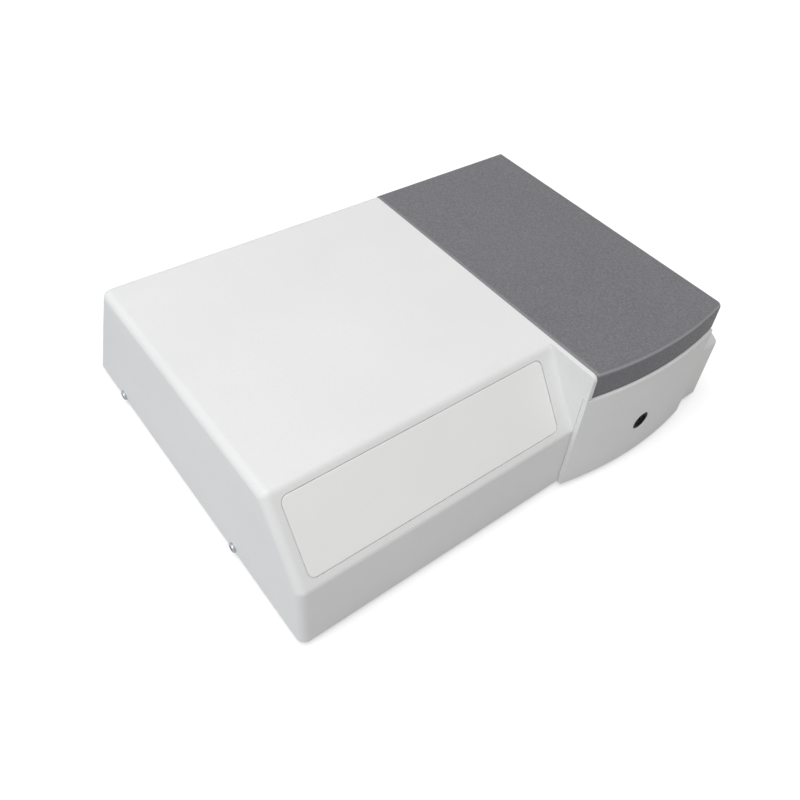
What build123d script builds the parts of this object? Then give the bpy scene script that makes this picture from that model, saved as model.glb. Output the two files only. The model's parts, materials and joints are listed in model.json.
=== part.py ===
"""Benchtop spectrophotometer, in millimetres.

+Z is up, -Y is the front and +X is the right. The origin lies on the table, under the middle of
the instrument. The overall width, depth and height are sums of the bays that they hold.
"""

import math
import os

from build123d import *

os.makedirs("parts", exist_ok=True)

# Shell and clearances
wall = 3.0
foot_height = 6.0
edge_radius = 7.0
seam = 0.3  # gap left between two pieces that only lie side by side
running_gap = 0.05  # radial clearance of a shaft that turns or slides in its hole
screw_gap = 0.25  # radial clearance of a screw in a through hole

# Width, from the left wall to the right wall
electronics_bay = 73.0
bay_gap = 4.0
case_length = 176.0
case_gap = 4.6
cheek_thickness = 4.3
compartment_width = 177.0
right_shoulder = 22.4
body_width = (
    wall + electronics_bay + bay_gap + case_length + case_gap + compartment_width + right_shoulder
)

# Depth, from the front wall to the rear bottom edge
front_space = 48.0
case_depth = 148.0
filter_bay = 30.0
lamp_house_depth = 60.0
fan_space = 16.0
fan_thickness = 15.0
panel_thickness = 1.5
niche_depth = 31.5
body_depth = (
    front_space + case_depth + filter_bay + lamp_house_depth
    + fan_space + fan_thickness + panel_thickness + niche_depth
)
front_bulge = 14.0  # how far the curved compartment front stands ahead of the front wall
front_rise = 11.4  # how far the curve falls back from its crest to the cheek
crest_offset = -4.0
front_end_inset = 15.6  # from the right end of the curved front to the deck's right edge
front_arc_radius = ((compartment_width / 2 - crest_offset) ** 2 + front_rise**2) / (2 * front_rise)
front_slope_run = 43.5
rear_slope_run = 65.0

# Height, from the underside to the flat top
pan_thickness = 1.5
plate_rise = 16.5
plate_thickness = 8.0
case_height = 68.0
cover_thickness = 3.0
deck_clearance = 4.0
lid_height = 26.0
front_wall_height = 66.0
beam_rise = 34.0

# Levels
z_base = foot_height
z_pan = z_base + pan_thickness
z_plate = z_pan + plate_rise + plate_thickness
z_beam = z_plate + beam_rise
z_cover = z_plate + case_height
z_deck = z_cover + cover_thickness + deck_clearance + wall
z_top = z_deck + lid_height
z_break = z_base + front_wall_height

# Places across the width
x_right = body_width / 2
x_left = -x_right
x_deck_right = x_right - right_shoulder
x_front_right = x_deck_right - front_end_inset
x_cheek = x_deck_right - compartment_width
x_lid_wall = x_cheek + cheek_thickness
x_case_right = x_cheek - case_gap
x_case_left = x_case_right - case_length

# Places along the depth
y_crest = -(body_depth + front_bulge) / 2
y_wall = y_crest + front_bulge
y_rear = y_wall + body_depth
y_slope_top = y_wall + front_slope_run
y_rear_top = y_rear - rear_slope_run
y_case_front = y_wall + front_space
y_case_back = y_case_front + case_depth
y_house_front = y_case_back + filter_bay
y_house_back = y_house_front + lamp_house_depth
y_panel_in = y_house_back + fan_space + fan_thickness
y_panel = y_panel_in + panel_thickness

# Curved compartment front, an arc in plan
x_crest = (x_cheek + x_deck_right) / 2 + crest_offset
y_arc_centre = y_crest + front_arc_radius

# Lid
lid_gap = 1.1
lid_ledge = 10.6
lid_wall = 3.0
lid_setback = 2.4  # the lid's skirt stands this far behind the curved front
lid_lift = 0.6  # gap under the closed lid
lid_edge = 4.0
lid_corner = 6.0
lid_left_corner = 1.5
x_lid_left = x_lid_wall + lid_gap
x_lid_right = x_deck_right - lid_ledge
z_lid = z_deck + lid_lift

# Sample well
well_margin = 11.1
well_front_space = 8.0
well_margin_right = 19.6
well_width = compartment_width - cheek_thickness - well_margin - well_margin_right
well_depth = 148.0
well_floor = 18.0
well_wall = 3.0
flange_width = 4.0
flange_thickness = 1.5
seal_height = 3.0
x_well_left = x_lid_wall + well_margin
x_well_right = x_well_left + well_width
y_well_front = y_wall + well_front_space
y_well_back = y_well_front + well_depth
z_well = z_base + well_floor - wall
z_flange = z_deck + flange_thickness

# Cell changer
beam_offset = 31.0  # from the front of the monochromator case to the exit beam
rod_offset = compartment_width / 2 - 7.8
rod_height = 41.0
rod_radius = 6.0
rod_recess = 2.2
bushing_radius = 9.0
bushing_inset = 0.7
rail_radius = 3.0
rail_spacing = 32.0
cell_pitch = 16.0
cell_count = 4
cell_slot = 12.7
cell_wall = 4.0
cell_floor = 16.0  # from the slot's floor to the beam
holder_height = 32.0
y_beam = y_case_front + beam_offset
x_rod = x_cheek + rod_offset
z_rod = z_base + rod_height
holder_length = cell_count * cell_pitch + 2.0
changer_travel = (cell_count - 1) * cell_pitch

# Rear panel
niche_width = 262.0
niche_left = 22.0
x_niche_left = x_left + niche_left
x_niche_right = x_niche_left + niche_width


def lean(z):
    """Place of the rear wall's outer face at height z."""
    return y_rear - rear_slope_run * (z - z_base) / (z_top - z_base)


def slope(z):
    """Place of the sloped front's outer face at height z."""
    return y_wall + front_slope_run * (z - z_break) / (z_top - z_break)


def arc_y(x, setback=0.0):
    """Place of the curved front, or of a curve that runs setback behind it."""
    radius = front_arc_radius - setback
    return y_arc_centre - math.sqrt(radius**2 - (x - x_crest) ** 2)


def body_outline(top, drop=0.0):
    """Corners of the body's side outline up to the level top; drop carries it below the base."""
    return [
        (y_wall, z_base - drop),
        (y_wall, z_break),
        (slope(top), top),
        (lean(top), top),
        (lean(z_base - drop), z_base - drop),
    ]


def block(low, high, mode=Mode.ADD):
    """A block between two opposite corners."""
    middle = [(a + b) / 2 for a, b in zip(low, high)]
    with Locations(tuple(middle)):
        Box(*[b - a for a, b in zip(low, high)], mode=mode)


def rod(start, axis, radius, length, mode=Mode.ADD):
    """A round bar or hole that starts at a point and runs along an axis."""
    turn = {"x": (0, 90, 0), "y": (-90, 0, 0), "z": (0, 0, 0)}[axis]
    with Locations(Location(start, turn)):
        Cylinder(radius, length, align=(Align.CENTER, Align.CENTER, Align.MIN), mode=mode)


# Base pan: folded sheet with a flange all round
pan_gap = 0.3
flange_height = 12.0
flange_sheet = 1.5
pan_half = x_right - wall - pan_gap
pan_front = y_wall + wall + pan_gap
sloped_wall = wall * math.hypot(rear_slope_run, z_top - z_base) / (z_top - z_base)
pan_back = lean(z_pan) - sloped_wall - pan_gap
flange_back = lean(z_pan + flange_height) - sloped_wall - pan_gap
screw_rise = 5.5  # the side screws sit this far above the underside
screw_radius = 2.0
screw_head_radius = 4.4
screw_head_height = 2.2
screw_edge = 0.9
slot_width = 1.0
slot_length = 5.0
slot_depth = 1.2
side_screw_front = 97.3
side_screw_back = 292.5
screw_ys = [y_wall + side_screw_front, y_wall + side_screw_back]
z_screw = z_base + screw_rise
foot_radius = 11.0
foot_inset_x = 35.0
foot_inset_front = 30.0
foot_inset_rear = 45.0
foot_stem_radius = 3.0
foot_stem_height = 3.0
foot_places = [
    (side * (x_right - foot_inset_x), y)
    for side in (-1, 1)
    for y in (y_wall + foot_inset_front, y_rear - foot_inset_rear)
]
vent_slot = 4.0
vent_length = 44.0
vent_pitch = 9.0
vent_count = 8

with BuildPart() as base_pan:
    with BuildSketch(Plane.XY.offset(z_base)):
        with Locations((0, (pan_front + pan_back) / 2)):
            Rectangle(2 * pan_half, pan_back - pan_front)
    extrude(amount=pan_thickness)
    with BuildSketch(Plane.XY.offset(z_base)):
        with Locations((0, (pan_front + flange_back) / 2)):
            Rectangle(2 * pan_half, flange_back - pan_front)
            Rectangle(
                2 * (pan_half - flange_sheet), flange_back - pan_front - 2 * flange_sheet,
                mode=Mode.SUBTRACT,
            )
    extrude(amount=pan_thickness + flange_height)
    upright = base_pan.edges().filter_by(Axis.Z).sort_by(Axis.Y)
    fillet(upright[:2], radius=flange_sheet)
    # the rear flange is left out across the connector niche
    block(
        (x_niche_left, y_panel_in, z_pan), (x_niche_right, y_rear, z_pan + flange_height + 1),
        Mode.SUBTRACT,
    )
    # air slots under the power supply and under the lamp house
    for x_vent, y_vent in [
        (x_case_left + case_length / 4, y_house_front + lamp_house_depth / 2),
        (x_case_right, y_house_front + lamp_house_depth / 2),
    ]:
        with BuildSketch(Plane.XY.offset(z_base)):
            with Locations((x_vent, y_vent)):
                with GridLocations(vent_pitch, 1, vent_count, 1):
                    SlotOverall(vent_length, vent_slot, rotation=90)
        extrude(amount=pan_thickness, mode=Mode.SUBTRACT)
    for x_foot, y_foot in foot_places:
        rod((x_foot, y_foot, z_base), "z", foot_stem_radius + pan_gap, pan_thickness, Mode.SUBTRACT)
    for y_screw in screw_ys:
        rod((-pan_half, y_screw, z_screw), "x", screw_radius, 2 * pan_half, Mode.SUBTRACT)
base_pan.part.label = "base_pan"
export_step(base_pan.part, "parts/base_pan.step")

# Rubber feet, pushed into the pan
foot_dish_radius = 6.0
foot_dish_depth = 1.0
with BuildPart() as rubber_feet:
    for x_foot, y_foot in foot_places:
        with BuildSketch(Plane.XZ.offset(-y_foot)) as foot_section:
            with BuildLine():
                Polyline(
                    (x_foot, foot_dish_depth),
                    (x_foot + foot_dish_radius - foot_dish_depth, foot_dish_depth),
                    (x_foot + foot_dish_radius, 0),
                    (x_foot + foot_radius - 1, 0),
                    (x_foot + foot_radius, 1),
                    (x_foot + foot_radius - 1, foot_height),
                    (x_foot + foot_stem_radius, foot_height),
                    (x_foot + foot_stem_radius, foot_height + foot_stem_height),
                    (x_foot, foot_height + foot_stem_height),
                    close=True,
                )
            make_face()
        revolve(axis=Axis((x_foot, y_foot, 0), (0, 0, 1)))
rubber_feet.part.label = "rubber_feet"
export_step(rubber_feet.part, "parts/rubber_feet.step")

# Main housing, right of the lid: deck, sloped front, rear wall and sloped right flank
with BuildPart() as right_block:
    with BuildSketch(Plane.YZ.offset(x_lid_wall)):
        with BuildLine():
            Polyline(*body_outline(z_deck), close=True)
        make_face()
    extrude(amount=x_right - x_lid_wall)
    with BuildSketch(Plane.XZ.offset(-y_rear)):
        with BuildLine():
            Polyline(
                (x_right, z_break), (x_right, z_deck), (x_deck_right, z_deck), close=True
            )
        make_face()
    extrude(amount=body_depth, mode=Mode.SUBTRACT)
    inner_face = right_block.faces().filter_by(Axis.X).sort_by(Axis.X)[0]
    rounded = [
        edge for edge in right_block.edges()
        if edge.center().Z > z_base + 1 and edge not in inner_face.edges()
    ]
    fillet(rounded, radius=edge_radius - 1)

# Cavity of the housing under the deck, one wall in from the right block
flank_run = math.hypot(right_shoulder, z_deck - z_break)
flank_in = (wall * (z_deck - z_break) / flank_run, wall * right_shoulder / flank_run)
cavity_drop = 20.0
with BuildPart() as deck_cavity:
    with BuildSketch(Plane.YZ.offset(x_cheek)):
        with BuildLine():
            Polyline(*body_outline(z_deck, cavity_drop), close=True)
        make_face()
        offset(amount=-wall, kind=Kind.INTERSECTION)
    extrude(amount=x_right - wall - x_cheek)
    with BuildSketch(Plane.XZ.offset(-y_rear)):
        with BuildLine():
            Polyline(
                (x_right - flank_in[0], z_break - flank_in[1]),
                (x_right, z_break - flank_in[1]),
                (x_right, z_deck),
                (x_deck_right - flank_in[0], z_deck - flank_in[1]),
                close=True,
            )
        make_face()
    extrude(amount=body_depth, mode=Mode.SUBTRACT)

# Label panel and its recess in the sloped front
label_depth = 1.2
label_groove = 0.8
label_margin_left = 11.0
label_margin_right = 14.1
label_margin_slope = 6.7
label_corner = 6.5
slope_length = math.hypot(front_slope_run, z_top - z_break)
slope_normal = (0, -(z_top - z_break) / slope_length, front_slope_run / slope_length)
label_left = x_left + label_margin_left
label_right = x_cheek - label_margin_right
label_width = label_right - label_left
label_height = slope_length - 2 * label_margin_slope
label_plane = Plane(
    origin=((label_left + label_right) / 2, (y_wall + y_slope_top) / 2, (z_break + z_top) / 2),
    x_dir=(1, 0, 0),
    z_dir=slope_normal,
)

# Niche in the rear wall for the connector panel
niche_gusset = 3.0
niche_lip = 8.0
panel_lug = 8.0
panel_screw_radius = 1.5
z_niche = z_base + niche_depth * (z_top - z_base) / rear_slope_run

# Hinge places, shared by the deck, the lid and the leaves
hinge_inset = 38.0
hinge_width = 30.0
hinge_radius = 3.5
hinge_axis_in = 3.25  # from the rear wall's outer face to the hinge axis
hinge_axis_drop = 1.5  # below the deck
hinge_notch_gap = 1.0
z_hinge = z_deck - hinge_axis_drop
y_hinge = lean(z_hinge) - hinge_axis_in
hinge_xs = [x_lid_left + hinge_inset, x_lid_right - hinge_inset]

# The compartment front replaces the housing's front here
y_open = slope(z_deck) + wall
cheek_front = arc_y(x_cheek)
cheek_corner = 5.0
z_rib = z_pan + flange_height + 1  # ribs inside the housing end above the pan's flange

with BuildPart() as main_housing:
    with BuildSketch(Plane.YZ.offset(x_left)):
        with BuildLine():
            Polyline(*body_outline(z_top), close=True)
        make_face()
    extrude(amount=x_lid_wall - x_left)
    wall_face = main_housing.faces().filter_by(Axis.X).sort_by(Axis.X)[-1]
    rounded = [
        edge for edge in main_housing.edges()
        if edge.center().Z > z_base + 1 and edge not in wall_face.edges()
    ]
    fillet(rounded, radius=edge_radius)
    add(right_block.part)
    # hollow left block, then the cavity under the deck
    with BuildSketch(Plane.YZ.offset(x_left + wall)):
        with BuildLine():
            Polyline(*body_outline(z_top, cavity_drop), close=True)
        make_face()
        offset(amount=-wall, kind=Kind.INTERSECTION)
    extrude(amount=x_cheek - x_left - wall, mode=Mode.SUBTRACT)
    add(deck_cavity.part, mode=Mode.SUBTRACT)
    # opening for the curved compartment front
    block(
        (x_lid_wall, y_crest, z_base - 1), (x_front_right, y_open, z_deck + 1), Mode.SUBTRACT
    )
    # upright cheek beside the lid; below the deck it ends behind the curved front
    with BuildSketch(Plane.YZ.offset(x_cheek)):
        with BuildLine():
            Polyline(
                (y_wall, z_base), (y_wall, z_deck + seam), (cheek_front, z_deck + seam),
                (cheek_front, z_top), (y_slope_top + wall, z_top), (y_slope_top + wall, z_rib),
                (y_wall + wall, z_rib), (y_wall + wall, z_base), close=True,
            )
        make_face()
    extrude(amount=cheek_thickness)
    top_corner = (x_cheek + cheek_thickness / 2, cheek_front, z_top)
    fillet(main_housing.edges().filter_by(Axis.X).sort_by_distance(top_corner)[0], cheek_corner)
    # opening for the sample well
    well_gap = seam
    block(
        (x_well_left - well_gap, y_open - 1, z_deck - wall - 1),
        (x_well_right + well_gap, y_well_back + well_gap, z_deck + 1),
        Mode.SUBTRACT,
    )
    # label recess
    with BuildSketch(label_plane):
        RectangleRounded(label_width, label_height, label_corner)
    extrude(amount=-label_depth, mode=Mode.SUBTRACT)
    # niche: the rear wall is cut away, and a gusset closes each end
    block(
        (x_niche_left, y_panel_in, z_base - 1), (x_niche_right, y_rear + 1, z_niche),
        Mode.SUBTRACT,
    )
    for x_gusset in (x_niche_left - niche_gusset, x_niche_right):
        with BuildSketch(Plane.YZ.offset(x_gusset)):
            with BuildLine():
                Polyline(
                    (y_panel_in - niche_lip, z_rib), (y_panel_in - niche_lip, z_niche + niche_lip),
                    (lean(z_niche + niche_lip) - 1, z_niche + niche_lip), (lean(z_rib) - 1, z_rib),
                    close=True,
                )
            make_face()
        extrude(amount=niche_gusset)
    # lugs that the rear panel is screwed to
    for x_lug in (x_niche_left, x_niche_right - panel_lug):
        for z_lug in (z_rib, z_niche - panel_lug - niche_gusset):
            block(
                (x_lug, y_panel_in - panel_lug, z_lug), (x_lug + panel_lug, y_panel_in, z_lug + panel_lug)
            )
            rod(
                (x_lug + panel_lug / 2, y_panel_in - panel_lug, z_lug + panel_lug / 2), "y",
                panel_screw_radius, panel_lug, Mode.SUBTRACT,
            )
    # hinge notches in the rear edge of the deck
    for x_hinge in hinge_xs:
        block(
            (
                x_hinge - hinge_width / 2 - hinge_notch_gap,
                y_hinge - hinge_radius - hinge_notch_gap,
                z_hinge - hinge_radius - hinge_notch_gap,
            ),
            (x_hinge + hinge_width / 2 + hinge_notch_gap, y_rear, z_deck + 1),
            Mode.SUBTRACT,
        )
    # holes for the side screws
    for y_screw in screw_ys:
        rod(
            (x_left - 1, y_screw, z_screw), "x", screw_radius + screw_gap, body_width + 2,
            Mode.SUBTRACT,
        )
main_housing.part.label = "main_housing"
export_step(main_housing.part, "parts/main_housing.step")

# Label panel: a bare flush plate with rounded corners
with BuildPart() as label_panel:
    with BuildSketch(label_plane.offset(-label_depth)):
        RectangleRounded(
            label_width - 2 * label_groove, label_height - 2 * label_groove,
            label_corner - label_groove,
        )
    extrude(amount=label_depth)
    chamfer(label_panel.faces().sort_by(Axis.Y)[0].edges(), length=0.25)
label_panel.part.label = "label_panel"
export_step(label_panel.part, "parts/label_panel.step")

# Compartment front: curved wall that laps over the cheek, a shelf round the well, a right return
front_wall_thickness = 3.0
front_corner = 1.5
hole_chamfer = 0.8
x_front_left = x_lid_wall + seam


def front_curve(x_from, x_to, setback):
    """The curved front between two places, set back behind its outer face."""
    return ThreePointArc(
        (x_from, arc_y(x_from, setback)), (x_crest, arc_y(x_crest, setback)),
        (x_to, arc_y(x_to, setback)),
    )


with BuildPart() as compartment_front:
    # whole footprint of the front, up to the deck
    with BuildSketch(Plane.XY.offset(z_base)):
        with BuildLine():
            front_line = front_curve(x_cheek, x_front_right, 0)
            Polyline(
                front_line @ 0, (x_cheek, y_wall - seam), (x_front_left, y_wall - seam),
                (x_front_left, y_open - seam), (x_front_right, y_open - seam), front_line @ 1,
            )
        make_face()
    extrude(amount=z_deck - z_base)
    corner = compartment_front.edges().filter_by(Axis.Z).group_by(Axis.Y)[0].sort_by(Axis.X)[-1]
    fillet(corner, radius=front_corner)
    # hollow behind the curved wall, between the bottom lip and the shelf
    with BuildSketch(Plane.XY.offset(z_pan)):
        with BuildLine():
            back_line = front_curve(
                x_front_left, x_front_right - front_wall_thickness, front_wall_thickness
            )
            Polyline(
                back_line @ 0, (x_front_left, y_open),
                (x_front_right - front_wall_thickness, y_open), back_line @ 1,
            )
        make_face()
    extrude(amount=z_deck - wall - z_pan, mode=Mode.SUBTRACT)
    block(
        (x_front_left - 1, y_wall + wall, z_base - 1), (x_front_right + 1, y_open, z_pan + 1),
        Mode.SUBTRACT,
    )
    # the right return follows the housing's slope, just inside it
    with BuildSketch(Plane.YZ.offset(x_front_right - front_wall_thickness - 1)):
        with BuildLine():
            Polyline(
                (y_open, z_base - 1), (y_wall + wall, z_base - 1), (y_wall + wall, z_break),
                (slope(z_deck - wall) + wall, z_deck - wall), (y_open, z_deck - wall), close=True,
            )
        make_face()
    extrude(amount=front_wall_thickness + 2, mode=Mode.SUBTRACT)
    # opening for the well
    block(
        (x_well_left - seam, y_well_front - seam, z_deck - wall - 1),
        (x_well_right + seam, y_open + 1, z_deck + 1),
        Mode.SUBTRACT,
    )
    # round hole for the changer's bushing, with a small chamfer at its mouth
    rod(
        (x_rod, y_crest - 1, z_rod), "y", bushing_radius + screw_gap, front_wall_thickness + 3,
        Mode.SUBTRACT,
    )
    with Locations(Location((x_rod, arc_y(x_rod) + hole_chamfer, z_rod), (90, 0, 0))):
        Cone(
            bushing_radius + screw_gap, bushing_radius + screw_gap + 2 * hole_chamfer,
            2 * hole_chamfer, align=(Align.CENTER, Align.CENTER, Align.MIN), mode=Mode.SUBTRACT,
        )
    rim = [
        edge for edge in compartment_front.edges().filter_by(GeomType.CIRCLE)
        if abs(edge.center().Z - z_deck) < 0.01 and edge.length > compartment_width / 2
    ]
    fillet(rim, radius=0.8)
compartment_front.part.label = "compartment_front"
export_step(compartment_front.part, "parts/compartment_front.step")

# Sample well: an open black tub hung from the deck by its flange
well_corner = 6.0
window_radius = 9.0
window_depth = 2.0
aperture_radius = 7.0
rail_rise = 7.0
z_well_floor = z_base + well_floor
z_rail = z_well_floor + rail_rise
well_centre = ((x_well_left + x_well_right) / 2, (y_well_front + y_well_back) / 2)

with BuildPart() as sample_well:
    with BuildSketch(Plane.XY.offset(z_well)):
        with Locations(well_centre):
            RectangleRounded(well_width, well_depth, well_corner)
    extrude(amount=z_deck - z_well)
    with BuildSketch(Plane.XY.offset(z_deck)):
        with Locations(well_centre):
            RectangleRounded(
                well_width + 2 * flange_width, well_depth + 2 * flange_width,
                well_corner + flange_width,
            )
    extrude(amount=flange_thickness)
    with BuildSketch(Plane.XY.offset(z_well_floor)):
        with Locations(well_centre):
            RectangleRounded(
                well_width - 2 * well_wall, well_depth - 2 * well_wall, well_corner - well_wall
            )
    extrude(amount=z_flange - z_well_floor, mode=Mode.SUBTRACT)
    # beam apertures with a seat for a window on the inner side of each
    rod((x_well_left - 1, y_beam, z_beam), "x", aperture_radius, well_width + 2, Mode.SUBTRACT)
    for x_seat in (x_well_left + well_wall - window_depth, x_well_right - well_wall):
        rod((x_seat, y_beam, z_beam), "x", window_radius, window_depth, Mode.SUBTRACT)
    # holes for the bushing and for the two rails
    rod(
        (x_rod, y_well_front - 1, z_rod), "y", bushing_radius + screw_gap, well_wall + 2,
        Mode.SUBTRACT,
    )
    for side in (-1, 1):
        rod(
            (x_rod + side * rail_spacing / 2, y_well_front - 1, z_rail), "y", rail_radius,
            well_depth + 2, Mode.SUBTRACT,
        )
sample_well.part.label = "sample_well"
export_step(sample_well.part, "parts/sample_well.step")

# Light seal on the flange
with BuildPart() as well_seal:
    with BuildSketch(Plane.XY.offset(z_flange)):
        with Locations(well_centre):
            RectangleRounded(
                well_width + flange_width, well_depth + flange_width, well_corner + flange_width / 2
            )
            RectangleRounded(
                well_width - well_wall, well_depth - well_wall, well_corner - well_wall / 2,
                mode=Mode.SUBTRACT,
            )
    extrude(amount=seal_height)
    chamfer(well_seal.faces().sort_by(Axis.Z)[-1].edges(), length=0.8)
well_seal.part.label = "well_seal"
export_step(well_seal.part, "parts/well_seal.step")

# Windows that the beam passes through
window_gap = 0.1
with BuildPart() as entry_window:
    rod(
        (x_well_left + well_wall - window_depth, y_beam, z_beam), "x",
        window_radius - window_gap, window_depth,
    )
entry_window.part.label = "entry_window"
export_step(entry_window.part, "parts/entry_window.step")

with BuildPart() as exit_window:
    rod((x_well_right - well_wall, y_beam, z_beam), "x", window_radius - window_gap, window_depth)
exit_window.part.label = "exit_window"
export_step(exit_window.part, "parts/exit_window.step")

# Bushing that guides the changer's rod from the curved front to the well
collar_radius = 11.0
collar_thickness = 2.5
y_bushing = arc_y(x_rod) + bushing_inset
y_collar = arc_y(x_rod) + front_wall_thickness + seam
with BuildPart() as rod_bushing:
    rod((x_rod, y_bushing, z_rod), "y", bushing_radius, y_well_front + well_wall - y_bushing)
    rod((x_rod, y_collar, z_rod), "y", collar_radius, collar_thickness)
    rod(
        (x_rod, y_bushing - 1, z_rod), "y", rod_radius + running_gap,
        y_well_front + well_wall - y_bushing + 2, Mode.SUBTRACT,
    )
    mouth = rod_bushing.faces().sort_by(Axis.Y)[0].edges()
    chamfer(mouth, length=0.6)
rod_bushing.part.label = "rod_bushing"
export_step(rod_bushing.part, "parts/rod_bushing.step")

# Rails of the changer
with BuildPart() as changer_rails:
    for side in (-1, 1):
        rod(
            (x_rod + side * rail_spacing / 2, y_well_front, z_rail), "y", rail_radius, well_depth
        )
changer_rails.part.label = "changer_rails"
export_step(changer_rails.part, "parts/changer_rails.step")

# Changer carriage: a block on the two rails with a lug for the rod
carriage_half_width = 23.0
carriage_half_height = 5.0
lug_half_width = 9.0
lug_thickness = 6.0
tenon_radius = 3.0
tenon_length = 4.0
y_holder = y_beam - cell_pitch / 2 - 1
y_lug = y_holder - lug_thickness
z_carriage = z_rail + carriage_half_height
with BuildPart() as changer_carriage:
    block(
        (x_rod - carriage_half_width, y_holder, z_rail - carriage_half_height),
        (x_rod + carriage_half_width, y_holder + holder_length, z_carriage),
    )
    upright = changer_carriage.edges().filter_by(Axis.Z)
    fillet(upright, radius=3)
    with BuildSketch(Plane.XZ.offset(-y_holder)):
        with BuildLine():
            Polyline(
                (x_rod - lug_half_width, z_rod), (x_rod - lug_half_width, z_rail - carriage_half_height),
                (x_rod + lug_half_width, z_rail - carriage_half_height), (x_rod + lug_half_width, z_rod),
            )
            ThreePointArc(
                (x_rod + lug_half_width, z_rod), (x_rod, z_rod + lug_half_width),
                (x_rod - lug_half_width, z_rod),
            )
        make_face()
    extrude(amount=lug_thickness)
    rod((x_rod, y_lug, z_rod), "y", tenon_radius, tenon_length, Mode.SUBTRACT)
    for side in (-1, 1):
        rod(
            (x_rod + side * rail_spacing / 2, y_lug - 1, z_rail), "y", rail_radius + running_gap,
            holder_length + lug_thickness + 2, Mode.SUBTRACT,
        )
changer_carriage.part.label = "changer_carriage"
export_step(changer_carriage.part, "parts/changer_carriage.step")

# Cell holder: square slots in a row, each crossed by the beam aperture
holder_half_width = cell_slot / 2 + cell_wall
z_slot = z_beam - cell_floor
z_holder = z_slot + holder_height
cell_aperture = 3.5
cell_ys = [y_beam + i * cell_pitch for i in range(cell_count)]
with BuildPart() as cell_holder:
    block(
        (x_rod - holder_half_width, y_holder, z_carriage),
        (x_rod + holder_half_width, y_holder + holder_length, z_holder),
    )
    chamfer(cell_holder.faces().sort_by(Axis.Z)[-1].edges(), length=1)
    for y_cell in cell_ys:
        half = cell_slot / 2
        block(
            (x_rod - half, y_cell - half, z_slot), (x_rod + half, y_cell + half, z_holder + 1),
            Mode.SUBTRACT,
        )
        rod(
            (x_rod - holder_half_width - 1, y_cell, z_beam), "x", cell_aperture,
            2 * holder_half_width + 2, Mode.SUBTRACT,
        )
cell_holder.part.label = "cell_holder"
export_step(cell_holder.part, "parts/cell_holder.step")

# Changer rod: its end lies just inside the bushing and is tapped for a knob
socket_radius = 2.1
socket_depth = 10.0
y_rod = arc_y(x_rod) + rod_recess
with BuildPart() as changer_rod:
    rod((x_rod, y_rod, z_rod), "y", rod_radius, y_lug - y_rod)
    chamfer(changer_rod.faces().sort_by(Axis.Y)[0].edges(), length=1)
    rod((x_rod, y_lug, z_rod), "y", tenon_radius, tenon_length)
    rod((x_rod, y_rod, z_rod), "y", socket_radius, socket_depth, Mode.SUBTRACT)
changer_rod.part.label = "changer_rod"
export_step(changer_rod.part, "parts/changer_rod.step")

# Lid: a hollow moulded cover with a curved skirt and a leaning back
lid_rear_lift = 5.5  # the rear skirt ends this far above the hinge axis
lid_rear_cut = 5.5
boss_inset = 18.0
boss_radius = 4.0
boss_hole_radius = 1.4
boss_hole_depth = 8.0
liner_thickness = 2.0
liner_lift = 0.1  # gap between the seal and the liner
liner_edge_gap = 0.5
liner_rim_height = 6.0
leaf_thickness = 1.5
leaf_depth = 24.0
z_liner = z_flange + seal_height + liner_lift
z_liner_top = z_liner + liner_thickness
z_lid_leaf = z_hinge + hinge_radius + 0.5
z_lid_leaf_top = z_lid_leaf + leaf_thickness
z_lid_inside = z_top - lid_wall
y_liner_back = y_hinge - leaf_depth - 2 * leaf_thickness
boss_xs = (x_lid_left + boss_inset, x_lid_right - boss_inset)
boss_ys = (y_slope_top, y_well_back - 2 * boss_inset, y_liner_back - boss_inset)
boss_places = [(x, y) for x in boss_xs for y in boss_ys]


def lean_cut(x_from, x_to, back):
    """Cut away what lies behind the leaning rear face, moved forward by back."""
    with BuildSketch(Plane.YZ.offset(x_from)) as behind:
        with BuildLine():
            Polyline(
                (lean(z_deck) - back, z_deck), (y_rear + wall, z_deck), (y_rear + wall, z_top),
                (lean(z_top) - back, z_top), close=True,
            )
        make_face()
    extrude(behind.sketch, amount=x_to - x_from, mode=Mode.SUBTRACT)


# the hollow inside the lid
with BuildPart() as lid_hollow:
    with BuildSketch(Plane.XY.offset(z_deck)):
        with BuildLine():
            hollow_line = front_curve(
                x_lid_left + lid_wall, x_lid_right - lid_wall, lid_setback + lid_wall
            )
            Polyline(
                hollow_line @ 0, (x_lid_left + lid_wall, y_rear),
                (x_lid_right - lid_wall, y_rear), hollow_line @ 1,
            )
        make_face()
    extrude(amount=z_lid_inside - z_deck)
    lean_cut(x_lid_left, x_lid_right, sloped_wall)

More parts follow.
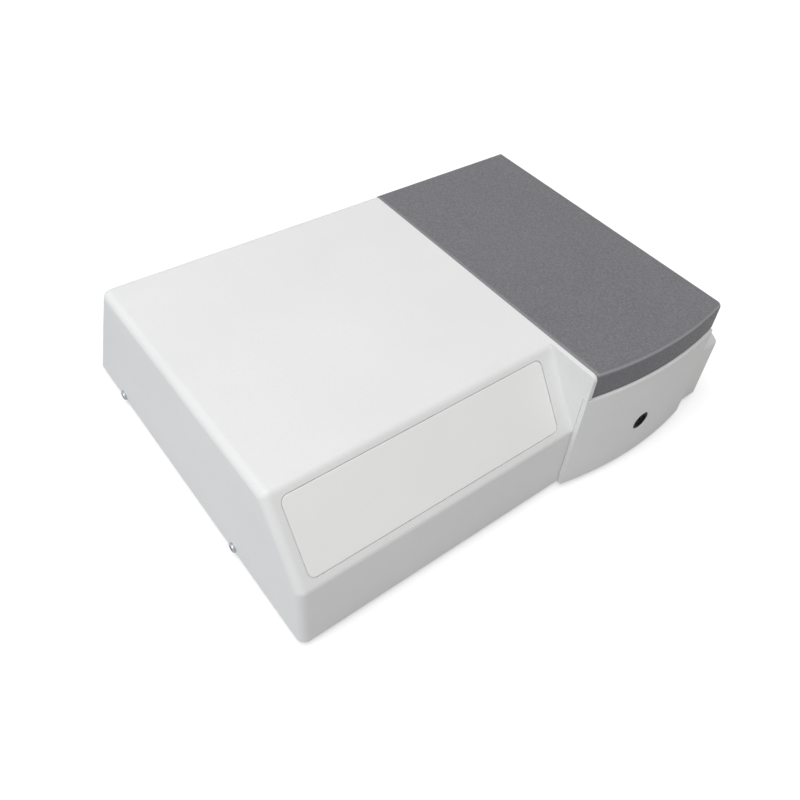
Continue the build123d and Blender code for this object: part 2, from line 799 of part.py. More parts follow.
with BuildPart() as lid_shell:
    with BuildSketch(Plane.XY.offset(z_lid)):
        with BuildLine():
            skirt_line = front_curve(x_lid_left, x_lid_right, lid_setback)
            Polyline(
                skirt_line @ 0, (x_lid_left, y_rear), (x_lid_right, y_rear), skirt_line @ 1
            )
        make_face()
    extrude(amount=z_top - z_lid)
    lean_cut(x_lid_left - 1, x_lid_right + 1, 0)
    fillet(lid_shell.edges().filter_by(Axis.Z).sort_by(Axis.X)[-1], radius=lid_corner)
    fillet(lid_shell.edges().filter_by(Axis.Z).sort_by(Axis.X)[0], radius=lid_left_corner)
    fillet(lid_shell.faces().sort_by(Axis.Z)[-1].edges(), radius=lid_edge)
    add(lid_hollow.part, mode=Mode.SUBTRACT)
    # the rear skirt and the rear ends of the side walls stop above the hinge
    block(
        (x_lid_left - 1, y_hinge - lid_rear_cut, z_lid - 1),
        (x_lid_right + 1, y_rear + 1, z_hinge + lid_rear_lift),
        Mode.SUBTRACT,
    )
    # bosses for the liner and blocks for the hinge leaves
    for x_boss, y_boss in boss_places:
        rod((x_boss, y_boss, z_liner_top), "z", boss_radius, z_lid_inside - z_liner_top + 1)
        rod((x_boss, y_boss, z_liner_top), "z", boss_hole_radius, boss_hole_depth, Mode.SUBTRACT)
    for x_hinge in hinge_xs:
        block(
            (x_hinge - hinge_width / 2, y_hinge - leaf_depth, z_lid_leaf_top),
            (x_hinge + hinge_width / 2, lean(z_top) - 1, z_lid_inside + 1),
        )
lid_shell.part.label = "lid_shell"
export_step(lid_shell.part, "parts/lid_shell.step")

# Lid liner: a shallow tray that closes the lid over the well
with BuildPart() as lid_liner:
    inset = lid_wall + liner_edge_gap
    for depth, level, height, mode in (
        (inset, z_liner, liner_thickness + liner_rim_height, Mode.ADD),
        (inset + liner_thickness, z_liner_top, liner_rim_height, Mode.SUBTRACT),
    ):
        with BuildSketch(Plane.XY.offset(level)):
            with BuildLine():
                tray_line = front_curve(
                    x_lid_left + depth, x_lid_right - depth, lid_setback + depth
                )
                y_tray = y_liner_back - (depth - inset)
                Polyline(
                    tray_line @ 0, (x_lid_left + depth, y_tray), (x_lid_right - depth, y_tray),
                    tray_line @ 1,
                )
            make_face()
        extrude(amount=height, mode=mode)
    for x_boss, y_boss in boss_places:
        rod(
            (x_boss, y_boss, z_liner), "z", boss_hole_radius + screw_gap, liner_thickness,
            Mode.SUBTRACT,
        )
lid_liner.part.label = "lid_liner"
export_step(lid_liner.part, "parts/lid_liner.step")

# Hinges: base leaves on the deck, lid leaves under the lid's blocks, and their pins
knuckle_width = 10.0
knuckle_gap = 0.3
hinge_pin_radius = 1.5
pin_overhang = 0.5
y_leaf_edge = y_hinge - hinge_radius - hinge_notch_gap
with BuildPart() as hinge_base_leaves:
    for x_hinge in hinge_xs:
        block(
            (x_hinge - hinge_width / 2, y_hinge - leaf_depth, z_deck),
            (x_hinge + hinge_width / 2, y_leaf_edge, z_deck + leaf_thickness),
        )
        for side in (-1, 1):
            inner = x_hinge + side * (knuckle_width / 2 + knuckle_gap)
            outer = x_hinge + side * hinge_width / 2
            low, high = min(inner, outer), max(inner, outer)
            block(
                (low, y_leaf_edge, z_deck),
                (high, y_hinge, z_deck + leaf_thickness),
            )
            rod((low, y_hinge, z_hinge), "x", hinge_radius, high - low)
        rod(
            (x_hinge - hinge_width / 2, y_hinge, z_hinge), "x", hinge_pin_radius, hinge_width,
            Mode.SUBTRACT,
        )
hinge_base_leaves.part.label = "hinge_base_leaves"
export_step(hinge_base_leaves.part, "parts/hinge_base_leaves.step")

with BuildPart() as hinge_lid_leaves:
    for x_hinge in hinge_xs:
        block(
            (x_hinge - hinge_width / 2, y_hinge - leaf_depth, z_lid_leaf),
            (x_hinge + hinge_width / 2, y_hinge - hinge_radius, z_lid_leaf_top),
        )
        block(
            (x_hinge - knuckle_width / 2, y_hinge - hinge_radius, z_hinge),
            (x_hinge + knuckle_width / 2, y_hinge, z_lid_leaf_top),
        )
        rod((x_hinge - knuckle_width / 2, y_hinge, z_hinge), "x", hinge_radius, knuckle_width)
        rod(
            (x_hinge - knuckle_width / 2, y_hinge, z_hinge), "x",
            hinge_pin_radius + running_gap, knuckle_width, Mode.SUBTRACT,
        )
hinge_lid_leaves.part.label = "hinge_lid_leaves"
export_step(hinge_lid_leaves.part, "parts/hinge_lid_leaves.step")

with BuildPart() as hinge_pins:
    for x_hinge in hinge_xs:
        rod(
            (x_hinge - hinge_width / 2 - pin_overhang, y_hinge, z_hinge), "x", hinge_pin_radius,
            hinge_width + 2 * pin_overhang,
        )
hinge_pins.part.label = "hinge_pins"
export_step(hinge_pins.part, "parts/hinge_pins.step")

# Side screws: pan heads outside, shanks through the housing into the pan's flange
with BuildPart() as side_screws:
    for y_screw in screw_ys:
        for side in (-1, 1):
            face = Plane(origin=(side * x_right, y_screw, z_screw), z_dir=(side, 0, 0))
            with BuildSketch(face):
                Circle(screw_head_radius)
            extrude(amount=screw_head_height)
            with BuildSketch(face):
                Circle(screw_radius)
            extrude(amount=-(wall + pan_gap + flange_sheet + 2))
    chamfer(
        [
            edge for edge in side_screws.edges().filter_by(GeomType.CIRCLE)
            if abs(edge.center().X) > x_right + screw_head_height / 2
        ],
        length=screw_edge,
    )
    for y_screw in screw_ys:
        for side in (-1, 1):
            x_slot = side * (x_right + screw_head_height)
            for wide, tall in ((slot_width, slot_length), (slot_length, slot_width)):
                block(
                    (x_slot - slot_depth, y_screw - wide / 2, z_screw - tall / 2),
                    (x_slot + slot_depth, y_screw + wide / 2, z_screw + tall / 2),
                    Mode.SUBTRACT,
                )
side_screws.part.label = "side_screws"
export_step(side_screws.part, "parts/side_screws.step")

# Detector: a block on the well's right wall with its board behind
detector_half = 16.0
detector_depth = 22.0
detector_board_depth = 1.6
detector_cup = 14.0
x_detector = x_well_right + detector_depth
with BuildPart() as detector_block:
    block(
        (x_well_right, y_beam - detector_half, z_beam - detector_half),
        (x_detector, y_beam + detector_half, z_beam + detector_half),
    )
    chamfer(detector_block.edges().filter_by(Axis.X), length=2)
    rod((x_well_right, y_beam, z_beam), "x", aperture_radius, detector_cup, Mode.SUBTRACT)
detector_block.part.label = "detector_block"
export_step(detector_block.part, "parts/detector_block.step")

with BuildPart() as detector_board:
    block(
        (x_detector, y_beam - detector_half - 4, z_beam - detector_half - 2),
        (x_detector + detector_board_depth, y_beam + detector_half + 4, z_beam + detector_half + 2),
    )
detector_board.part.label = "detector_board"
export_step(detector_board.part, "parts/detector_board.step")

# Optical base: a cast plate on legs that carries the monochromator and the lamps
base_margin = 6.0
leg_radius = 6.0
leg_inset = 12.0
lamp_house_left = 57.0  # from the case's right face to the left of the lamp house
lamp_house_width = 128.0
x_house_left = x_case_right - lamp_house_left
x_house_right = x_house_left + lamp_house_width
x_base_right = x_well_left - base_margin
y_base_step = y_well_back + 2 * base_margin
leg_places = [
    (x_case_left + leg_inset, y_case_front + leg_inset),
    (x_base_right - leg_inset, y_case_front + leg_inset),
    (x_case_left + leg_inset, y_case_back - leg_inset),
    (x_house_left + leg_inset, y_house_back - leg_inset),
    (x_house_right - leg_inset, y_house_back - leg_inset),
]
with BuildPart() as optical_base:
    block(
        (x_case_left, y_case_front, z_plate - plate_thickness), (x_base_right, y_case_back, z_plate)
    )
    block(
        (x_house_left, y_base_step, z_plate - plate_thickness), (x_house_right, y_house_back, z_plate)
    )
    for x_leg, y_leg in leg_places:
        rod((x_leg, y_leg, z_pan), "z", leg_radius, plate_rise)
optical_base.part.label = "optical_base"
export_step(optical_base.part, "parts/optical_base.step")

# Monochromator case, a deep box with one opening for each slit
case_wall = 4.0
slit_plate = 24.0
slit_thickness = 2.0
slit_width = 1.5
slit_height = 10.0
port_radius = 8.0
entrance_inset = 18.0
x_entrance = x_case_right - entrance_inset
with BuildPart() as monochromator_case:
    block((x_case_left, y_case_front, z_plate), (x_case_right, y_case_back, z_cover))
    block(
        (x_case_left + case_wall, y_case_front + case_wall, z_plate - 1),
        (x_case_right - case_wall, y_case_back - case_wall, z_cover + 1),
        Mode.SUBTRACT,
    )
    rod((x_case_right - case_wall, y_beam, z_beam), "x", port_radius, case_wall, Mode.SUBTRACT)
    rod((x_entrance, y_case_back - case_wall, z_beam), "y", port_radius, case_wall, Mode.SUBTRACT)
monochromator_case.part.label = "monochromator_case"
export_step(monochromator_case.part, "parts/monochromator_case.step")

with BuildPart() as monochromator_cover:
    block((x_case_left, y_case_front, z_cover), (x_case_right, y_case_back, z_cover + cover_thickness))
    chamfer(monochromator_cover.faces().sort_by(Axis.Z)[-1].edges(), length=1)
monochromator_cover.part.label = "monochromator_cover"
export_step(monochromator_cover.part, "parts/monochromator_cover.step")

with BuildPart() as entrance_slit:
    half = slit_plate / 2
    block(
        (x_entrance - half, y_case_back, z_beam - half),
        (x_entrance + half, y_case_back + slit_thickness, z_beam + half),
    )
    block(
        (x_entrance - slit_width / 2, y_case_back - 1, z_beam - slit_height / 2),
        (x_entrance + slit_width / 2, y_case_back + slit_thickness + 1, z_beam + slit_height / 2),
        Mode.SUBTRACT,
    )
entrance_slit.part.label = "entrance_slit"
export_step(entrance_slit.part, "parts/entrance_slit.step")

with BuildPart() as exit_slit:
    x_exit = x_case_right - case_wall
    half = slit_plate / 2
    block(
        (x_exit - slit_thickness, y_beam - half, z_beam - half), (x_exit, y_beam + half, z_beam + half)
    )
    block(
        (x_exit - slit_thickness - 1, y_beam - slit_width / 2, z_beam - slit_height / 2),
        (x_exit + 1, y_beam + slit_width / 2, z_beam + slit_height / 2),
        Mode.SUBTRACT,
    )
exit_slit.part.label = "exit_slit"
export_step(exit_slit.part, "parts/exit_slit.step")

# Mirrors of the monochromator and the mounts behind them
mirror_radius = 16.0
mirror_thickness = 6.0
mirror_curve = 300.0
mirror_sag = mirror_curve - math.sqrt(mirror_curve**2 - mirror_radius**2)
mount_depth = 11.0
mount_half = 14.0
fold_width = 24.0
fold_thickness = 4.0
fold_post_radius = 6.0
fold_offset = 43.0
collimator_offset = 43.0
focuser_offset = 40.0
x_mount = x_case_left + case_wall
x_mirror = x_mount + mount_depth
y_fold = y_case_back - fold_offset
y_collimator = y_case_back - collimator_offset
y_focuser = y_case_front + focuser_offset
mount_thickness = 3.0


def concave_mirror(x, y):
    """A round concave mirror that faces +X from a mount at x."""
    rod((x, y, z_beam), "x", mirror_radius, mirror_thickness)
    with Locations((x + mirror_thickness + mirror_curve - mirror_sag, y, z_beam)):
        Sphere(mirror_curve, mode=Mode.SUBTRACT)


with BuildPart() as collimating_mirror:
    concave_mirror(x_mirror, y_collimator)
collimating_mirror.part.label = "collimating_mirror"
export_step(collimating_mirror.part, "parts/collimating_mirror.step")

with BuildPart() as focusing_mirror:
    concave_mirror(x_mirror, y_focuser)
focusing_mirror.part.label = "focusing_mirror"
export_step(focusing_mirror.part, "parts/focusing_mirror.step")

with BuildPart() as fold_mirror:
    with Locations(Location((x_entrance, y_fold, z_beam), (0, 0, 135))):
        Box(fold_thickness, fold_width, fold_width, align=(Align.MAX, Align.CENTER, Align.CENTER))
fold_mirror.part.label = "fold_mirror"
export_step(fold_mirror.part, "parts/fold_mirror.step")

with BuildPart() as mirror_mounts:
    for y_mirror in (y_collimator, y_focuser):
        block(
            (x_mount, y_mirror - mount_half, z_plate), (x_mirror, y_mirror + mount_half, z_beam + mirror_radius)
        )
    behind = fold_thickness + mount_thickness
    with Locations(Location((x_entrance, y_fold, z_plate), (0, 0, 135))):
        with Locations((-fold_thickness, 0, 0)):
            Box(
                mount_thickness, fold_width, z_beam - z_plate + fold_width / 2,
                align=(Align.MAX, Align.CENTER, Align.MIN),
            )
        with Locations((-behind, 0, 0)):
            Box(
                fold_post_radius, fold_width / 2, fold_post_radius,
                align=(Align.MAX, Align.CENTER, Align.MIN),
            )
mirror_mounts.part.label = "mirror_mounts"
export_step(mirror_mounts.part, "parts/mirror_mounts.step")

# Grating drive: bearing, turning table, toothed sector, grating, motor and pinion
gear_module = 0.8
gear_teeth = 96
pinion_teeth = 16
gear_backlash = 0.12
pressure_angle = 20.0
sector_half_angle = 28.0
gear_thickness = 4.0
grating_inset = 26.0
grating_offset = 70.0
bearing_radius = 14.0
bearing_height = 14.0
table_shaft_radius = 5.0
table_radius = 18.0
table_thickness = 4.0
grating_width = 30.0
grating_thickness = 8.0
drive_motor_height = 12.0
pinion_shaft_radius = 2.5
thrust_gap = 0.1
bearing_floor = 1.0
x_grating = x_case_right - grating_inset
y_grating = y_case_front + grating_offset
x_pinion = x_grating - gear_module * (gear_teeth + pinion_teeth) / 2
z_gear = z_plate + bearing_height + 4
z_table = z_gear + gear_thickness


def tooth_points(teeth, index, start):
    """Outline points of one tooth: root, flank, tip, flank, root."""
    pitch_radius = gear_module * teeth / 2
    half = math.pi * gear_module / 4 - gear_backlash / 2
    slant = math.tan(math.radians(pressure_angle))
    middle = math.radians(start + 360 / teeth * index)
    points = []
    for side, rises in ((-1, (-1.25, 1.0)), (1, (1.0, -1.25))):
        for rise in rises:
            radius = pitch_radius + rise * gear_module
            angle = middle + side * (half - rise * gear_module * slant) / pitch_radius
            points.append((radius * math.cos(angle), radius * math.sin(angle)))
    return points


with BuildPart() as grating_bearing:
    rod((x_grating, y_grating, z_plate), "z", bearing_radius, bearing_height)
    rod(
        (x_grating, y_grating, z_plate + bearing_floor), "z", table_shaft_radius + running_gap,
        bearing_height, Mode.SUBTRACT,
    )
grating_bearing.part.label = "grating_bearing"
export_step(grating_bearing.part, "parts/grating_bearing.step")

with BuildPart() as grating_table:
    z_shaft = z_plate + bearing_floor + thrust_gap
    rod((x_grating, y_grating, z_shaft), "z", table_shaft_radius, z_table - z_shaft + 1)
    rod((x_grating, y_grating, z_table), "z", table_radius, table_thickness)
grating_table.part.label = "grating_table"
export_step(grating_table.part, "parts/grating_table.step")

with BuildPart() as grating_gear:
    with BuildSketch(Plane.XY.offset(z_gear)):
        with Locations((x_grating, y_grating)):
            with BuildLine():
                sector_teeth = int(sector_half_angle * gear_teeth / 360)
                outline = [(0, 0)]
                for tooth in range(-sector_teeth, sector_teeth + 1):
                    outline += tooth_points(gear_teeth, tooth, 180)
                Polyline(*[(x_grating + x, y_grating + y) for x, y in outline], close=True)
        make_face()
        with Locations((x_grating, y_grating)):
            Circle(table_shaft_radius + bearing_floor + 2)
            Circle(table_shaft_radius, mode=Mode.SUBTRACT)
    extrude(amount=gear_thickness)
grating_gear.part.label = "grating_gear"
export_step(grating_gear.part, "parts/grating_gear.step")

with BuildPart() as grating:
    block(
        (x_grating, y_grating - grating_width / 2, z_table + table_thickness),
        (
            x_grating + grating_thickness, y_grating + grating_width / 2,
            z_table + table_thickness + grating_width,
        ),
    )
grating.part.label = "grating"
export_step(grating.part, "parts/grating.step")

with BuildPart() as grating_motor:
    rod((x_pinion, y_grating, z_plate), "z", bearing_radius, drive_motor_height)
    chamfer(grating_motor.faces().sort_by(Axis.Z)[-1].edges(), length=1)
    rod(
        (x_pinion, y_grating, z_plate + bearing_floor), "z", pinion_shaft_radius + running_gap,
        drive_motor_height, Mode.SUBTRACT,
    )
grating_motor.part.label = "grating_motor"
export_step(grating_motor.part, "parts/grating_motor.step")

with BuildPart() as motor_pinion:
    with BuildSketch(Plane.XY.offset(z_gear - 0.5)):
        with BuildLine():
            outline = []
            for tooth in range(pinion_teeth):
                outline += tooth_points(pinion_teeth, tooth, 180 / pinion_teeth)
            Polyline(*[(x_pinion + x, y_grating + y) for x, y in outline], close=True)
        make_face()
    extrude(amount=gear_thickness + 1)
    z_shaft = z_plate + bearing_floor + thrust_gap
    rod((x_pinion, y_grating, z_shaft), "z", pinion_shaft_radius, z_gear - z_shaft)
motor_pinion.part.label = "motor_pinion"
export_step(motor_pinion.part, "parts/motor_pinion.step")

# Lamp house: a ventilated sheet box round both lamps
house_sheet = 2.0
house_clearance = 2.0
house_height = case_height - house_clearance
house_slot_pitch = 16.0
house_slot_count = 6
z_house = z_plate + house_height
with BuildPart() as lamp_house:
    block((x_house_left, y_house_front, z_plate), (x_house_right, y_house_back, z_house))
    block(
        (x_house_left + house_sheet, y_house_front + house_sheet, z_plate - 1),
        (x_house_right - house_sheet, y_house_back - house_sheet, z_house + 1),
        Mode.SUBTRACT,
    )
    rod((x_entrance, y_house_front, z_beam), "y", port_radius, house_sheet, Mode.SUBTRACT)
    with BuildSketch(Plane.XZ.offset(-y_house_back)):
        with Locations(((x_house_left + x_house_right) / 2, z_beam)):
            with GridLocations(house_slot_pitch, 1, house_slot_count, 1):
                SlotOverall(house_height / 2, 5, rotation=90)
    extrude(amount=house_sheet, mode=Mode.SUBTRACT)
lamp_house.part.label = "lamp_house"
export_step(lamp_house.part, "parts/lamp_house.step")

with BuildPart() as lamp_cover:
    block((x_house_left, y_house_front, z_house), (x_house_right, y_house_back, z_house + house_sheet))
lamp_cover.part.label = "lamp_cover"
export_step(lamp_cover.part, "parts/lamp_cover.step")

# Source mirror on its swinging arm, and the two lamps
arm_length = 24.0
arm_width = 8.0
arm_thickness = 4.0
arm_shaft_radius = 2.0
mirror_row = 17.0  # from the front of the lamp house to the source mirror
source_mirror_size = 20.0
source_mirror_thickness = 2.0
small_motor_radius = 10.0
small_motor_height = 16.0
y_source = y_house_front + mirror_row
x_arm = x_entrance - arm_length
z_arm = z_plate + small_motor_height + arm_thickness
with BuildPart() as mirror_motor:
    rod((x_arm, y_source, z_plate), "z", small_motor_radius, small_motor_height)
    rod(
        (x_arm, y_source, z_plate + bearing_floor), "z", arm_shaft_radius + running_gap,
        small_motor_height, Mode.SUBTRACT,
    )
mirror_motor.part.label = "mirror_motor"
export_step(mirror_motor.part, "parts/mirror_motor.step")

with BuildPart() as mirror_arm:
    z_shaft = z_plate + bearing_floor + thrust_gap
    rod((x_arm, y_source, z_shaft), "z", arm_shaft_radius, z_arm - z_shaft + 1)
    rod((x_arm, y_source, z_arm), "z", arm_width / 2, arm_thickness)
    block(
        (x_arm, y_source - arm_width / 2, z_arm), (x_entrance, y_source + arm_width / 2, z_arm + arm_thickness)
    )
    with Locations(Location((x_entrance, y_source, z_arm), (0, 0, -45))):
        with Locations((-source_mirror_thickness, 0, 0)):
            Box(
                source_mirror_thickness, source_mirror_size, z_beam - z_arm + source_mirror_size / 2,
                align=(Align.MAX, Align.CENTER, Align.MIN),
            )
mirror_arm.part.label = "mirror_arm"
export_step(mirror_arm.part, "parts/mirror_arm.step")

with BuildPart() as source_mirror:
    with Locations(Location((x_entrance, y_source, z_arm + arm_thickness), (0, 0, -45))):
        Box(
            source_mirror_thickness, source_mirror_size,
            z_beam - z_arm - arm_thickness + source_mirror_size / 2,
            align=(Align.MAX, Align.CENTER, Align.MIN),
        )
source_mirror.part.label = "source_mirror"
export_step(source_mirror.part, "parts/source_mirror.step")

halogen_gap = 31.0
bulb_radius = 5.0
bulb_height = 26.0
socket_width = 18.0
socket_height = 18.0
y_halogen = y_source + halogen_gap
with BuildPart() as halogen_lamp:
    block(
        (x_entrance - socket_width / 2, y_halogen - socket_width / 2, z_plate),
        (x_entrance + socket_width / 2, y_halogen + socket_width / 2, z_plate + socket_height),
    )
    rod((x_entrance, y_halogen, z_plate), "z", bulb_radius, socket_height + bulb_height)
    chamfer(halogen_lamp.faces().sort_by(Axis.Z)[-1].edges(), length=bulb_radius / 2)
halogen_lamp.part.label = "halogen_lamp"
export_step(halogen_lamp.part, "parts/halogen_lamp.step")

deuterium_gap = 65.0
tube_radius = 14.0
tube_height = 50.0
tube_flange_radius = 18.0
tube_flange_height = 8.0
x_deuterium = x_entrance + deuterium_gap
with BuildPart() as deuterium_lamp:
    y_tube = y_source + tube_flange_radius - mirror_row + 2 * house_sheet
    rod((x_deuterium, y_tube, z_plate), "z", tube_flange_radius, tube_flange_height)
    rod((x_deuterium, y_tube, z_plate), "z", tube_radius, tube_flange_height + tube_height)
    chamfer(deuterium_lamp.faces().sort_by(Axis.Z)[-1].edges(), length=tube_radius / 2)
deuterium_lamp.part.label = "deuterium_lamp"
export_step(deuterium_lamp.part, "parts/deuterium_lamp.step")

# Filter wheel between the lamp house and the entrance slit
wheel_radius = 28.0
wheel_thickness = 3.0
wheel_pitch_radius = 19.0
wheel_holes = 6
filter_radius = 6.0
filter_thickness = 2.0
wheel_gap = 8.0
hub_radius = 6.0
hub_length = 3.0
filter_motor_length = 12.0
x_wheel = x_entrance - wheel_pitch_radius
y_wheel = y_case_back + slit_thickness + wheel_gap
wheel_places = [
    (
        x_wheel + wheel_pitch_radius * math.cos(2 * math.pi * i / wheel_holes),
        z_beam + wheel_pitch_radius * math.sin(2 * math.pi * i / wheel_holes),
    )
    for i in range(wheel_holes)
]
with BuildPart() as filter_motor:
    y_motor = y_house_front - filter_motor_length
    rod((x_wheel, y_motor, z_beam), "y", small_motor_radius, filter_motor_length)
    rod(
        (x_wheel, y_motor - 1, z_beam), "y", arm_shaft_radius + running_gap,
        filter_motor_length - bearing_floor, Mode.SUBTRACT,
    )
filter_motor.part.label = "filter_motor"
export_step(filter_motor.part, "parts/filter_motor.step")

with BuildPart() as filter_wheel:
    rod((x_wheel, y_wheel, z_beam), "y", wheel_radius, wheel_thickness)
    rod((x_wheel, y_wheel, z_beam), "y", hub_radius, wheel_thickness + hub_length)
    rod(
        (x_wheel, y_wheel, z_beam), "y", arm_shaft_radius,
        y_house_front - 2 * bearing_floor - thrust_gap - y_wheel,
    )
    for x_filter, z_filter in wheel_places:
        rod((x_filter, y_wheel - 1, z_filter), "y", filter_radius, wheel_thickness + 2, Mode.SUBTRACT)
filter_wheel.part.label = "filter_wheel"
export_step(filter_wheel.part, "parts/filter_wheel.step")

with BuildPart() as order_filters:
    for x_filter, z_filter in wheel_places[1:]:
        rod(
            (x_filter, y_wheel + (wheel_thickness - filter_thickness) / 2, z_filter), "y",
            filter_radius, filter_thickness,
        )
order_filters.part.label = "order_filters"
export_step(order_filters.part, "parts/order_filters.step")

# Electronics on the pan: power supply, ring transformer and main board
supply_side_gap = 14.0
supply_length = case_length - lamp_house_left - supply_side_gap
supply_depth = 80.0
supply_height = 43.0
supply_stand = 4.5
supply_gap = 17.0
stand_radius = 3.0
y_supply = y_case_back + supply_gap
z_supply = z_pan + supply_stand
with BuildPart() as power_supply:
    block(
        (x_case_left, y_supply, z_supply),
        (x_case_left + supply_length, y_supply + supply_depth, z_supply + supply_height),
    )
    with BuildSketch(Plane.XY.offset(z_supply + supply_height)):
        with Locations((x_case_left + supply_length / 2, y_supply + supply_depth / 2)):
            with GridLocations(vent_pitch, 1, vent_count, 1):
                SlotOverall(supply_depth - 2 * base_margin, vent_slot, rotation=90)
    extrude(amount=-pan_thickness, mode=Mode.SUBTRACT)
    for x_stand in (x_case_left + base_margin, x_case_left + supply_length - base_margin):
        for y_stand in (y_supply + base_margin, y_supply + supply_depth - base_margin):
            rod((x_stand, y_stand, z_pan), "z", stand_radius, supply_stand)
power_supply.part.label = "power_supply"
export_step(power_supply.part, "parts/power_supply.step")

ring_radius = 31.0
ring_hole_radius = 10.0
ring_height = 38.0
ring_chamfer = 6.0
x_ring = x_left + wall + electronics_bay / 2 + bay_gap / 2 - 3
y_ring = y_case_back + ring_radius + 2 * base_margin + leg_inset
with BuildPart() as transformer:
    rod((x_ring, y_ring, z_pan), "z", ring_radius, ring_height)
    rod((x_ring, y_ring, z_pan), "z", ring_hole_radius, ring_height, Mode.SUBTRACT)
    chamfer(transformer.faces().sort_by(Axis.Z)[-1].edges(), length=ring_chamfer)
transformer.part.label = "transformer"
export_step(transformer.part, "parts/transformer.step")

board_width = 60.0
board_front_gap = 15.0
board_length = front_space + case_depth - wall - board_front_gap
board_sheet = 1.6
board_stand = 8.0
board_inset = 6.0
chip_height = 3.0
chip_size = 18.0
chip_count = 5
board_side_gap = 7.0
x_board = x_left + wall + board_side_gap
y_board = y_wall + wall + board_front_gap
z_board = z_pan + board_stand
with BuildPart() as main_board:
    block((x_board, y_board, z_board), (x_board + board_width, y_board + board_length, z_board + board_sheet))
    for x_stand in (x_board + board_inset, x_board + board_width - board_inset):
        for y_stand in (y_board + board_inset, y_board + board_length - board_inset):
            rod((x_stand, y_stand, z_pan), "z", stand_radius, board_stand)
    for i in range(chip_count):
        # every second chip stands across the board and is twice as wide
        chip_width = chip_size * (1 + i % 2)
        x_chip = x_board + (board_width - chip_width) / 2
        y_chip = y_board + board_length * (i + 1) / (chip_count + 1) - chip_size / 2
        block(
            (x_chip, y_chip, z_board + board_sheet),
            (x_chip + chip_width, y_chip + chip_size, z_board + board_sheet + chip_height),
        )
main_board.part.label = "main_board"
export_step(main_board.part, "parts/main_board.step")

# Rear panel in the niche, with the openings for inlet, switch, port and fan
z_port_row = (z_pan + z_niche) / 2
inlet_offset = 38.0
switch_offset = 93.0
port_offset = 138.0
fan_offset = 228.0
x_inlet = x_niche_left + inlet_offset
x_switch = x_niche_left + switch_offset
x_port = x_niche_left + port_offset
x_fan = x_niche_left + fan_offset
z_fan = z_port_row
inlet_width = 28.0
inlet_height = 20.0
switch_width = 19.0
switch_height = 26.0
port_width = 12.0
port_height = 11.0
fan_size = 50.0
fan_duct = 23.0
fan_screw_spacing = 20.0
fan_screw_radius = 1.6
panel_gap = 0.2
inlet_screw_spacing = 20.0
panel_screw_places = [
    (x_screw, z_lug + panel_lug / 2)
    for x_screw in (x_niche_left + panel_lug / 2, x_niche_right - panel_lug / 2)
    for z_lug in (z_rib, z_niche - panel_lug - niche_gusset)
]
fan_screw_places = [
    (x_fan + i * fan_screw_spacing, z_fan + j * fan_screw_spacing) for i in (-1, 1) for j in (-1, 1)
]
inlet_screw_places = [(x_inlet + i * inlet_screw_spacing, z_port_row) for i in (-1, 1)]
with BuildPart() as rear_panel:
    with BuildSketch(Plane.XZ.offset(-y_panel)):
        with Locations(((x_niche_left + x_niche_right) / 2, (z_pan + z_niche) / 2)):
            Rectangle(niche_width - 2 * panel_gap, z_niche - z_pan - panel_gap)
        with Locations((x_inlet, z_port_row)):
            Rectangle(inlet_width + 2 * panel_gap, inlet_height + 2 * panel_gap, mode=Mode.SUBTRACT)
        with Locations((x_switch, z_port_row)):
            Rectangle(switch_width + 2 * panel_gap, switch_height + 2 * panel_gap, mode=Mode.SUBTRACT)
        with Locations((x_port, z_port_row)):
            Rectangle(port_width + 2 * panel_gap, port_height + 2 * panel_gap, mode=Mode.SUBTRACT)
        with Locations((x_fan, z_fan)):
            Circle(fan_duct, mode=Mode.SUBTRACT)
        for places, radius in (
            (panel_screw_places, panel_screw_radius), (fan_screw_places, fan_screw_radius),
            (inlet_screw_places, panel_screw_radius),
        ):
            with Locations(*places):
                Circle(radius + screw_gap, mode=Mode.SUBTRACT)
    extrude(amount=panel_thickness)
rear_panel.part.label = "rear_panel"
export_step(rear_panel.part, "parts/rear_panel.step")

# Mains inlet, a three-pin appliance socket, and its pins
inlet_flange_width = 50.0
inlet_flange_height = 27.0
inlet_flange_thickness = 3.0
inlet_depth = 20.0
socket_opening = (24.6, 16.6)
socket_cavity_depth = 16.0
socket_chamfer = 4.5
pin_spacing = 7.0
pin_width = 2.0
pin_height = 4.0
pin_length = 14.0
pin_drop = 2.0
y_inlet = y_panel + inlet_flange_thickness
with BuildPart() as mains_inlet:
    with BuildSketch(Plane.XZ.offset(-y_inlet)):
        with Locations((x_inlet, z_port_row)):
            RectangleRounded(inlet_flange_width, inlet_flange_height, 3)
        with Locations(*inlet_screw_places):
            Circle(panel_screw_radius + screw_gap, mode=Mode.SUBTRACT)
    extrude(amount=inlet_flange_thickness)
    block(
        (x_inlet - inlet_width / 2, y_panel - inlet_depth, z_port_row - inlet_height / 2),
        (x_inlet + inlet_width / 2, y_panel + 1, z_port_row + inlet_height / 2),
    )
    with BuildSketch(Plane.XZ.offset(-y_inlet)) as opening:
        with Locations((x_inlet, z_port_row)):
            Rectangle(*socket_opening)
        chamfer(opening.vertices().group_by(Axis.Z)[-1], length=socket_chamfer)
    extrude(amount=socket_cavity_depth, mode=Mode.SUBTRACT)
mains_inlet.part.label = "mains_inlet"
export_step(mains_inlet.part, "parts/mains_inlet.step")

with BuildPart() as inlet_pins:
    y_pin = y_inlet - socket_cavity_depth
    for x_pin, z_pin in (
        (x_inlet - pin_spacing, z_port_row - pin_drop), (x_inlet + pin_spacing, z_port_row - pin_drop),
        (x_inlet, z_port_row + pin_drop),
    ):
        block(
            (x_pin - pin_width / 2, y_pin, z_pin - pin_height / 2),
            (x_pin + pin_width / 2, y_pin + pin_length, z_pin + pin_height / 2),
        )
inlet_pins.part.label = "inlet_pins"
export_step(inlet_pins.part, "parts/inlet_pins.step")

